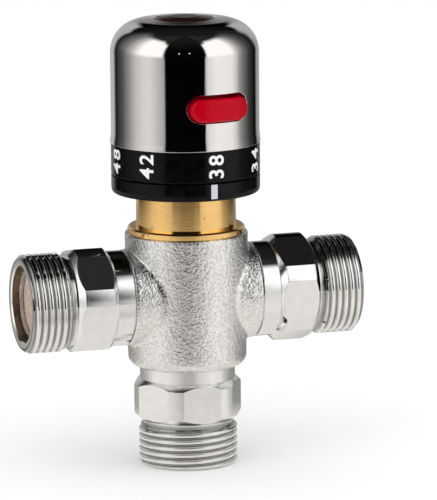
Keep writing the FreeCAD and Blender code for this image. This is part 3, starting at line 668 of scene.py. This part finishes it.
def casting():
    """Even skin of the casting, drawn onto its exact surface, uneven and open at its holes."""
    barrel = [(0, barrel_low), (barrel_low_r, barrel_low), (barrel_high_r, barrel_high), (0, barrel_high)]
    boss = [(0, -boss_end), (boss_r, -boss_end), (boss_r, boss_end), (0, boss_end)]
    across, boss_faces = lathe(boss, False, 96)
    points, faces = joined(lathe(barrel, False, 96), (on_arm(across, COLD), boss_faces))
    obj = bpy.data.objects.new("casting_base", make_mesh("casting_base", points, faces))
    bpy.context.scene.collection.objects.link(obj)
    remesh = obj.modifiers.new("skin", "REMESH")
    remesh.mode = "VOXEL"
    remesh.voxel_size = voxel * MM
    depsgraph = bpy.context.evaluated_depsgraph_get()
    mesh = bpy.data.meshes.new_from_object(obj.evaluated_get(depsgraph))
    bpy.data.objects.remove(obj)
    p = np.ascontiguousarray(mesh_points(mesh).T)
    step = 1e-3
    for _ in range(6):
        d = casting_distance(p)
        slope = np.stack([(casting_distance(p + step * np.eye(3)[k]) - d) / step for k in range(3)], 1)
        p -= d[:, None] * slope / np.maximum((slope**2).sum(1, keepdims=True), 1e-6)
    p += slope * unevenness(p)[:, None]
    mesh.vertices.foreach_set("co", (p * MM).ravel())
    bm = bmesh.new()
    bm.from_mesh(mesh)
    centres = np.array([face.calc_center_median() for face in bm.faces]) / MM
    across_holes = casting_distance(centres) > 0.5
    bmesh.ops.delete(bm, geom=[f for f, out in zip(bm.faces, across_holes) if out], context="FACES")
    bmesh.ops.dissolve_degenerate(bm, edges=bm.edges, dist=1e-6)
    bm.to_mesh(mesh)
    bm.free()
    return mesh


def outlet_end():
    turns, rows = male_end(0.0)
    rows[0:4] = [(collar_r - 0.01, reach - barrel_low - 0.6), (collar_r, reach - barrel_low - 0.5)]
    rows += [(port_r, reach - outlet_depth), (throat_r + 0.1, reach - outlet_depth)]
    rows += [(throat_r, reach - outlet_depth - 0.1), (throat_r, reach - barrel_low - 0.6)]
    points, faces = build_rows(turns, rows, True)
    return on_outlet(points), faces


add_piece("casting_skin", casting(), "valve_body", FINISH["cast_chrome"], ["body_casting"])
outlet_finish = metal(
    "outlet_chrome", (0.84, 0.84, 0.83), (0.92, 0.92, 0.91), (0.14, 0.22), 3.0, 0.006,
    # groove: painted shade at the thread's roots
    groove=(0.40, 0.40, 0.40),
)
add_port("outlet_end", outlet_end(), outlet_finish, "body_casting", upright=True)


# -------- bonnet
bonnet_skin = soften(
    [
        (flange_in_r, barrel_high, 0.0),
        (flange_r - 0.02, barrel_high + 0.02, 0.12),
        (flange_r, flange_top - flange_bevel, 0.1),
        (flange_r - flange_bevel, flange_top, 0.1),
        (neck_r, flange_top, 0.0),
        (neck_r, neck_top - 0.05, 0.0),
        (neck_in_r, neck_top, 0.0),
    ],
    closed=False,
)
inside = kept_faces("bonnet", lambda x, y, z: np.hypot(x, y) < neck_in_r + 0.05)
add_form("bonnet_fine", joined(lathe(bonnet_skin, False), inside), "valve_body", "bare_brass", ["bonnet"])

# -------- rings
index_profile = soften(
    [
        (ring_in_r, ring_bottom, 0.15),
        (ring_r - 0.25, ring_bottom, 1.0),
        (ring_r, ring_bottom + 1.5, 1.2),
        (ring_r, ring_top, 0.3),
        (ring_bore_r, ring_top, 0.0),
        (ring_bore_r, ring_top - ring_step, 0.0),
        (neck_in_r, ring_top - ring_step, 0.0),
        (neck_in_r, neck_top, 0.0),
        (ring_in_r, neck_top, 0.0),
    ]
)
stop = kept_faces("index_ring", lambda x, y, z: (z > ring_top - 0.01) & (np.hypot(x, y) < stop_r))
add_form("index_ring_fine", joined(lathe(index_profile), stop), "valve_body", "gloss_black", ["index_ring"])

scale_profile = soften(
    [
        (scale_in_r, scale_bottom, 0.1),
        (ring_r, scale_bottom, 0.3),
        (ring_r, lip_z - 0.02, 0.08),
        (sleeve_r, lip_z - 0.02, 0.0),
        (sleeve_r, sleeve_top, 0.1),
        (sleeve_in_r, sleeve_top, 0.1),
        (sleeve_in_r, sleeve_low, 0.0),
        (scale_in_r, sleeve_low, 0.0),
    ]
)
stop = kept_faces(
    "scale_ring", lambda x, y, z: (z < lip_z - 1.4) & (np.hypot(x, y) < scale_in_r - 0.02)
)
add_form("scale_ring_fine", joined(lathe(scale_profile), stop), "knob", "gloss_black", ["scale_ring"])


# -------- knob shell with the button's slot
def stadium(width, height, count=24):
    """Points of a flat round-ended outline, as (across, up)."""
    r, half = height / 2, width / 2 - height / 2
    outline = []
    for end, first in ((1, -90), (-1, 90)):
        for k in range(count + 1):
            a = math.radians(first + 180 * k / count)
            outline.append((end * half + r * math.cos(a), r * math.sin(a)))
    return outline


def stadium_rows(outline_rows, middle_z):
    """Rows of a stadium on the knob's side: each row is (width, height, radius)."""
    rows = []
    for width, height, radius in outline_rows:
        flat = stadium(width, height)
        dense = []
        for k, (a, b) in enumerate(flat):
            c, d = flat[(k + 1) % len(flat)]
            long = abs(c - a) > 1.0
            for i in range(12 if long else 1):
                t = i / 12 if long else 0
                dense.append((a + (c - a) * t, b + (d - b) * t))
        u = np.array(dense)
        x = np.sqrt(np.maximum(radius**2 - u[:, 0] ** 2, 0))
        rows.append(np.stack([x, u[:, 0], middle_z + u[:, 1]], 1))
    return rows


def turned_by(points, degrees):
    a = math.radians(degrees)
    x, y, z = np.asarray(points).T
    return np.stack([x * math.cos(a) - y * math.sin(a), x * math.sin(a) + y * math.cos(a), z], 1)


def shell_profile():
    """Outline of the shell: up from its foot, over the dome, into the cap's seat and down inside."""
    corner_z, flat_r = rim_z - dome_r, knob_r - dome_r
    seat = rim_z - cap_seat
    profile = [(lip_r - 0.12, lip_z), (lip_r - 0.03, lip_z + 0.04), (lip_r, lip_z + 0.13)]
    profile += [(lip_r - 0.01, lip_z + 0.5), (lip_r - 0.14, lip_z + 1.5), (knob_r, lip_z + 2.7)]
    profile += [(knob_r, lip_z + 5.0), (knob_r, corner_z - 3.0)]
    for k in range(25):
        a = math.radians(90 * k / 24)
        profile.append((flat_r + dome_r * math.cos(a), corner_z + dome_r * math.sin(a)))
    rise = (knob_top - rim_z) / (flat_r - cap_hole_r)
    profile += [(cap_hole_r + 0.45, rim_z + rise * (flat_r - cap_hole_r - 0.45))]
    profile += [(cap_hole_r + 0.16, knob_top - 0.03), (cap_hole_r + 0.03, knob_top - 0.16)]
    profile += [(cap_hole_r, knob_top - 0.4), (cap_hole_r, seat), (cap_hole_in_r, seat)]
    profile += [(cap_hole_in_r, seat - knob_wall)]
    ledge, bend = inner_r - 1.1, dome_r - knob_wall
    for k in range(9):
        a = math.radians(90 - 90 * k / 8)
        profile.append((ledge - bend + bend * math.cos(a), seat - knob_wall - bend + bend * math.sin(a)))
    ledge_z = rim_z - 11.5
    profile += [(ledge, ledge_z), (inner_r, ledge_z), (inner_r, lip_z)]
    return profile


def knob_shell():
    """The shell with the slot cut out, and the round shell's own shading kept round the cut."""
    points, faces = lathe(shell_profile(), columns=320)
    mesh = make_mesh("knob_shell_fine", points, faces)
    smooth_normals(mesh, 38.0)
    corners = [n.vector.copy() for n in mesh.corner_normals]
    bm = bmesh.new()
    bm.from_mesh(mesh)
    tree = BVHTree.FromBMesh(bm)
    bm.free()
    plain = mesh.copy()
    obj = bpy.data.objects.new("shell_work", mesh)
    slot_rows = stadium_rows([(slot_width + 0.3, slot_height + 0.3, r) for r in (14.0, 24.0)], slot_z)
    points, faces = capped(slot_rows)
    cutter_mesh = make_mesh("slot_cutter", turned_by(points, slot_turn), faces)
    cutter = bpy.data.objects.new("slot_cutter", cutter_mesh)
    for o in (obj, cutter):
        bpy.context.scene.collection.objects.link(o)
    cut = obj.modifiers.new("slot", "BOOLEAN")
    cut.operation, cut.object, cut.solver = "DIFFERENCE", cutter, "EXACT"
    result = bpy.data.meshes.new_from_object(obj.evaluated_get(bpy.context.evaluated_depsgraph_get()))
    for o in (obj, cutter):
        bpy.data.objects.remove(o)

    # the shell keeps its own normals, and the slot's walls get theirs
    smooth_normals(result, 38.0)
    own = [n.vector.copy() for n in result.corner_normals]
    for polygon in result.polygons:
        for k in polygon.loop_indices:
            where = result.vertices[result.loops[k].vertex_index].co
            inner_point = where.lerp(polygon.center, 0.02)
            spot, _, face, _ = tree.find_nearest(inner_point)
            source = plain.polygons[face]
            if (spot - inner_point).length > 2e-5 or source.normal.dot(polygon.normal) < 0.9:
                continue
            weights = []
            for j in source.loop_indices:
                gap = (plain.vertices[plain.loops[j].vertex_index].co - where).length
                weights.append(1.0 / max(gap, 1e-7) ** 2)
            total = sum(weights)
            own[k] = sum((corners[j] * w for j, w in zip(source.loop_indices, weights)), Vector()) / total
            own[k].normalize()
    result.normals_split_custom_set([tuple(n) for n in own])
    return result


add_piece(
    "knob_shell_fine", knob_shell(), "knob", FINISH["knob_chrome"], ["knob_shell"], angle=0
)
wide, tall = slot_width, slot_height
slot_edge = stadium_rows(
    [
        (wide + 0.32, tall + 0.32, knob_r - 0.01),
        (wide + 0.26, tall + 0.26, knob_r + 0.005),
        (wide + 0.14, tall + 0.14, knob_r - 0.03),
        (wide + 0.04, tall + 0.04, knob_r - 0.13),
        (wide, tall, knob_r - 0.3),
        (wide, tall, inner_r),
        (wide + 0.32, tall + 0.32, inner_r),
    ],
    slot_z,
)
points, faces = grid(slot_edge, True)
add_form("slot_edge", (turned_by(points, slot_turn), faces), "knob", "knob_chrome")

# -------- cap
seat = cap_top - cap_height
cap_profile = soften(
    [
        (0, seat, 0.0),
        (cap_r, seat, 0.1),
        (cap_r, seat + cap_side, 0.35),
        (cap_r - 1.2, seat + 2.52, 0.8),
        (cap_r - 4.2, cap_top - 0.02, 1.5),
        (0, cap_top, 0.0),
    ],
    closed=False,
    steps=6,
)
skirt = kept_faces("knob_cap", lambda x, y, z: z < seat + 0.01)
cap_finish = plastic(
    "cap_brown", (0.010, 0.003, 0.003), (0.020, 0.006, 0.006), (0.12, 0.18), 1.5, 0.003, shine=0.05
)
cap = joined(lathe(cap_profile, False), skirt)
add_form("knob_cap_fine", cap, "knob", "gloss_black", ["knob_cap"], cap_finish)


# -------- safety button
def button_head():
    """Round-ended head with a rounded edge and a face that follows the knob's curve."""
    steps = [(0.0, button_root_r), (0.0, button_face_r - button_edge)]
    for k in range(1, 7):
        a = math.radians(15 * k)
        steps.append((button_edge * (1 - math.cos(a)), button_face_r - button_edge * (1 - math.sin(a))))
    flat = button_height / 2 - button_edge - 0.01
    steps += [(button_edge + flat * k / 6, button_face_r) for k in range(1, 7)]
    rows = [(button_width - 2 * inset, button_height - 2 * inset, r) for inset, r in steps]
    points, faces = capped(stadium_rows(rows, button_z))
    return turned_by(points, button_turn), faces


stem = kept_faces("safety_button", lambda x, y, z: np.hypot(x, y) < inner_r - 0.05)
add_form("button_fine", joined(button_head(), stem), "button", "button_red", ["safety_button"])


# -------- numbers and index mark
def glyph_mesh(text, size, bold, spacing):
    """Flat outline of a text in the built-in font, filled and finely divided."""
    curve = bpy.data.curves.new("glyph_" + text, "FONT")
    curve.body = text
    curve.size = size * MM
    curve.offset = bold * MM
    curve.space_character = spacing
    curve.align_x, curve.align_y = "CENTER", "CENTER"
    curve.resolution_u = 8
    obj = bpy.data.objects.new("glyph_" + text, curve)
    bpy.context.scene.collection.objects.link(obj)
    mesh = bpy.data.meshes.new_from_object(obj.evaluated_get(bpy.context.evaluated_depsgraph_get()))
    bpy.data.objects.remove(obj)
    bm = bmesh.new()
    bm.from_mesh(mesh)
    bmesh.ops.triangulate(bm, faces=bm.faces)
    bmesh.ops.subdivide_edges(bm, edges=[e for e in bm.edges if e.calc_length() > 0.6 * MM], cuts=2)
    points = np.array([v.co for v in bm.verts]) / MM
    faces = [tuple(v.index for v in f.verts) for f in bm.faces]
    bm.free()
    return points, faces


def wrap_on_ring(points, faces, turn, height, radius, thickness):
    """Lays a flat shape on the ring, reading upwards, with a little thickness."""
    across, up = points[:, 1], points[:, 0]
    count = len(points)
    low, high = across.min() / 2 + across.max() / 2, up.min() / 2 + up.max() / 2
    layers = []
    for r in (radius - thickness, radius + thickness):
        angle = math.radians(turn) - (across - low) / radius
        layers.append(np.stack([r * np.cos(angle), r * np.sin(angle), height + up - high], 1))
    edges = {}
    for face in faces:
        for a, b in zip(face, face[1:] + face[:1]):
            edges[(a, b)] = True
    walls = [(a, b, b + count, a + count) for a, b in edges if (b, a) not in edges]
    lower = [tuple(reversed(f)) for f in faces]
    upper = [tuple(i + count for i in f) for f in faces]
    return np.concatenate(layers), lower + upper + walls


number_z = (scale_bottom + lip_z) / 2 + 0.15
# degrees round the knob: 48, 42, 38 and 34 as the photo shows them, the others spaced by eye
number_turns = {
    "48": -173.6, "42": -138.4, "38": -83.0, "34": -39.4, "30": -1.0, "25": 35.0, "20": 69.0, "54": 153.0,
    "60": 125.0,
}
parts = []
for text, turn in number_turns.items():
    points, faces = glyph_mesh(text, number_size, number_bold, number_spacing)
    parts.append(wrap_on_ring(points, faces, turn, number_z, ring_r, number_relief))
add_form("scale_numbers", joined(*parts), "knob", None, finish=white_ink, angle=30)

rows_up, rows_across = 5, 6
flat = np.array(
    [
        (up, across, 0.0)
        for up in np.linspace(mark_low, mark_high, rows_up)
        for across in np.linspace(-mark_width / 2, mark_width / 2, rows_across)
    ]
)
mark_faces = []
for i in range(rows_up - 1):
    for j in range(rows_across - 1):
        k = i * rows_across + j
        mark_faces.append((k, k + 1, k + rows_across + 1, k + rows_across))
mark = wrap_on_ring(flat, mark_faces, mark_turn, (mark_low + mark_high) / 2, ring_r, mark_relief)
add_form("index_mark", mark, "valve_body", None, finish=mark_ink, angle=30)


# -------- camera
def set_camera():
    """Camera at the fitted place. Returns the direction from the valve to it."""
    azimuth, elevation, roll = math.radians(17.19), math.radians(11.14), math.radians(-0.54)
    distance, lens, aim_right, aim_up = 1.2804, 343.9, 0.008513, 0.011526
    origin = Vector((0, 0, arm_z * MM))
    back = Vector(
        (
            -math.sin(azimuth) * math.cos(elevation),
            -math.cos(azimuth) * math.cos(elevation),
            math.sin(elevation),
        )
    )
    right = Vector((math.cos(azimuth), -math.sin(azimuth), 0))
    up = back.cross(right)
    right_rolled = right * math.cos(roll) + up * math.sin(roll)
    up_rolled = up * math.cos(roll) - right * math.sin(roll)
    place = origin + back * distance
    aim = origin + right_rolled * aim_right + up_rolled * aim_up
    z_axis = (place - aim).normalized()
    x_axis = up_rolled.cross(z_axis).normalized()
    y_axis = z_axis.cross(x_axis)
    data = bpy.data.cameras.new("camera")
    data.lens, data.sensor_width, data.sensor_fit = lens, 36.0, "AUTO"
    data.clip_start, data.clip_end = 0.05, 50.0
    camera = bpy.data.objects.new("camera", data)
    rotation = Matrix((x_axis, y_axis, z_axis)).transposed().to_4x4()
    camera.matrix_world = Matrix.Translation(place) @ rotation
    bpy.context.scene.collection.objects.link(camera)
    bpy.context.scene.camera = camera
    return back


view_back = set_camera()


# -------- studio
# Tones that metal sees round the room, by degrees to the side of the front view: below the horizon,
# above it, and on the white table close by. They are set after the light and dark bands
# that the photo's metal shows, so metal shows these bands and not the white background.
LOW_STUDIO = [
    (-180, 0.72), (-146, 0.74), (-135, 0.06), (-127, 0.22), (-112, 0.34), (-96, 0.58), (-82, 0.78),
    (-68, 0.87), (-56, 0.88), (-46, 0.80), (-34, 0.68), (-32, 0.64), (-30, 0.01), (31, 0.01),
    (33, 0.82), (38, 0.91), (51, 0.98), (78, 0.96), (87, 0.82), (94, 0.60), (103, 0.45), (117, 0.25),
    (134, 0.09), (141, 0.12), (146, 0.58), (180, 0.72),
]
HIGH_STUDIO = [
    (-180, 0.48), (-170, 0.68), (-162, 0.72), (-146, 0.68), (-138, 0.08), (-127, 0.26),
    (-108, 0.46), (-92, 0.70), (-74, 1.0), (-36, 1.0), (-31.5, 0.0), (32.5, 0.0), (36.5, 1.0),
    (78, 1.0), (92, 0.66), (104, 0.42),
    (117, 0.25), (136, 0.05), (146, 0.64), (162, 0.72), (170, 0.66), (180, 0.48),
]
# The table's tones are painted light and shade for metal to mirror: lighter at the sides, darker towards the
# camera as a painted shadow, and darker behind.
TABLE_PAINTED_LIGHT_AND_SHADE = [
    (-180, 0.56), (-120, 0.72), (-96, 0.90), (-85, 1.0), (-60, 1.0), (-38, 0.97), (-20, 0.88),
    (-8, 0.76), (14, 0.76), (24, 0.90), (62, 1.0), (84, 1.0), (96, 0.82), (120, 0.62), (180, 0.56),
]


SPOTS = ((-8.5, 20.0), (8.0, 21.0))     # two small lamps: degrees to the side and up
near_tone = 0.88                        # of the table under the valve
toward = Vector((view_back.x, view_back.y, 0)).normalized()
across = Vector((-toward.y, toward.x, 0))


def dot(tree, vector, axis):
    node = add_node(tree, "ShaderNodeVectorMath", {0: vector, 1: axis}, operation="DOT_PRODUCT")
    return node.outputs["Value"]


def maths(tree, kind, a, b=0.0, c=0.0):
    """Result of a Math node of this kind."""
    return add_node(tree, "ShaderNodeMath", {0: a, 1: b, 2: c}, operation=kind).outputs[0]


def side_angle(tree, where):
    """Angle to the side of the front view, in radians."""
    return maths(tree, "ARCTAN2", dot(tree, where, across), dot(tree, where, toward))


def studio_world():
    """White room. Metal sees a studio in its place: soft boxes at both sides and dark flags between."""
    world = bpy.data.worlds.new("studio")
    bpy.context.scene.world = world
    world.use_nodes = True
    tree = world.node_tree
    tree.nodes.clear()
    where = add_node(tree, "ShaderNodeTexCoord").outputs["Generated"]
    degrees = maths(tree, "MULTIPLY", side_angle(tree, where), 180 / math.pi)
    wide = maths(tree, "ABSOLUTE", degrees)
    height = dot(tree, where, Vector((0, 0, 1)))
    elevation = maths(tree, "MULTIPLY", maths(tree, "ARCSINE", height), 180 / math.pi)

    turn = maths(tree, "MULTIPLY_ADD", degrees, 1 / 360, 0.5)
    front_top = ramp(tree, wide, 33.0, 52.0, 52.0, 62.0, smooth=True)
    back_top = ramp(tree, wide, 163.0, 176.0, 34.0, 16.0)
    top = mixed_value(
        tree,
        ramp(tree, wide, 134.0, 140.0),
        ramp(tree, maths(tree, "SUBTRACT", elevation, front_top), -10.0, 2.0, 1.15, 0.012, smooth=True),
        ramp(tree, maths(tree, "SUBTRACT", elevation, back_top), -5.0, 3.0, 1.0, 0.0, smooth=True),
    )
    above = ramp(tree, elevation, -1.0, 12.0, smooth=True)
    high = maths(tree, "MULTIPLY", tones(tree, turn, HIGH_STUDIO), top)
    level = mixed_value(tree, above, tones(tree, turn, LOW_STUDIO), high)
    edge, core = math.cos(math.radians(1.3)), math.cos(math.radians(0.5))
    for side, rise in SPOTS:
        spot = ramp(tree, dot(tree, where, lamp_direction(side, rise)), edge, core, 0.0, 3.0)
        level = maths(tree, "ADD", level, spot)
    glossy = maths(tree, "ADD", level, ramp(tree, elevation, 30.0, 65.0, 0.001, 0.010))

    rays = add_node(tree, "ShaderNodeLightPath").outputs
    shown, white = None, (1, 1, 1, 1)
    for ray, colour, strength in (
        (None, white, 0.92), ("Is Glossy Ray", (1, 0.995, 0.985, 1), glossy), ("Is Camera Ray", white, 1.0),
    ):
        light = add_node(tree, "ShaderNodeBackground", {"Color": colour, "Strength": strength}).outputs[0]
        shown = light if ray is None else add_node(
            tree, "ShaderNodeMixShader", {0: rays[ray], 1: shown, 2: light}
        ).outputs[0]
    tree.links.new(shown, add_node(tree, "ShaderNodeOutputWorld").inputs["Surface"])


def lamp_direction(side, rise):
    """Direction at degrees to the side of the front view and above the horizon."""
    a, e = math.radians(side), math.radians(rise)
    return (toward * math.cos(a) + across * math.sin(a)) * math.cos(e) + Vector((0, 0, math.sin(e)))


def tones(tree, place, stops):
    """Brightness along a ramp of (degrees, tone) stops, tones as they look on screen."""
    node = add_node(tree, "ShaderNodeValToRGB", {"Fac": place})
    elements = node.color_ramp.elements
    while len(elements) > 1:
        elements.remove(elements[-1])
    for k, (degrees, tone) in enumerate(stops):
        element = elements[0] if k == 0 else elements.new(degrees / 360 + 0.5)
        element.position = degrees / 360 + 0.5
        value = tone**2.2
        element.color = (value, value, value, 1)
    return node.outputs["Color"]


def mixed_value(tree, share, first, second):
    node = tree.nodes.new("ShaderNodeMix")
    node.data_type = "FLOAT"
    tree.links.new(share, node.inputs[0])
    for index, value in ((2, first), (3, second)):
        if isinstance(value, bpy.types.NodeSocket):
            tree.links.new(value, node.inputs[index])
        else:
            node.inputs[index].default_value = value
    return node.outputs[0]


def disc(name, radius, height, colour, stops=None):
    """Round ground; where it has stops, painted light and shade make it lighter and darker round the valve.
    """
    mesh = make_mesh(name, *lathe([(0, 0), (radius, 0)], False, 96))
    obj = bpy.data.objects.new(name, mesh)
    obj.location = (0, 0, height * MM)
    bpy.context.scene.collection.objects.link(obj)
    material, tree, shader = new_material(name)
    cloud = noise(tree, object_points(tree), 0.02, 2.0)
    tone = mixed(tree, cloud, colour, tuple(min(c * 1.01, 1.0) for c in colour))
    if stops:
        # painted light and shade: the table's tone by direction round the valve, even close under it
        where = add_node(tree, "ShaderNodeTexCoord").outputs["Object"]
        turn = maths(tree, "MULTIPLY_ADD", side_angle(tree, where), 1 / TAU, 0.5)
        distance = add_node(tree, "ShaderNodeVectorMath", {0: where}, operation="LENGTH").outputs["Value"]
        beyond = ramp(tree, distance, 0.055, 0.080)
        shades = mixed_value(tree, beyond, near_tone, tones(tree, turn, stops))
        tinted = add_node(tree, "ShaderNodeVectorMath", {0: shades, 1: colour}, operation="MULTIPLY")
        tone = tinted.outputs["Vector"]
    tree.links.new(tone, shader.inputs["Base Color"])
    shader.inputs["Roughness"].default_value = 1.0
    shader.inputs["Specular IOR Level"].default_value = 0.0
    mesh.materials.append(material)
    return obj


def set_stage():
    """White floor, the table with painted light and shade that only reflections see, and two soft lamps."""
    floor = disc("floor", 6000.0, -0.02, (0.985, 0.985, 0.985))
    floor.visible_glossy = False
    table = disc("painted_tone_table", 400.0, -0.04, (0.98, 0.95, 0.905), TABLE_PAINTED_LIGHT_AND_SHADE)
    table.visible_camera = False
    table.visible_diffuse = False
    table.visible_shadow = False

    for name, place, size, power in (
        ("key", (-0.9, -0.9, 1.3), 1.8, 6.0),
        ("fill", (1.1, -0.6, 0.9), 1.8, 4.0),
    ):
        light = bpy.data.lights.new(name, "AREA")
        light.shape, light.size, light.energy = "SQUARE", size, power
        lamp = bpy.data.objects.new(name, light)
        lamp.location = place
        lamp.rotation_euler = (Vector((0, 0, 0.05)) - Vector(place)).to_track_quat("-Z", "Y").to_euler()
        lamp.visible_camera = False
        lamp.visible_glossy = False
        bpy.context.scene.collection.objects.link(lamp)


studio_world()
set_stage()
bpy.context.scene.view_settings.view_transform = "Standard"
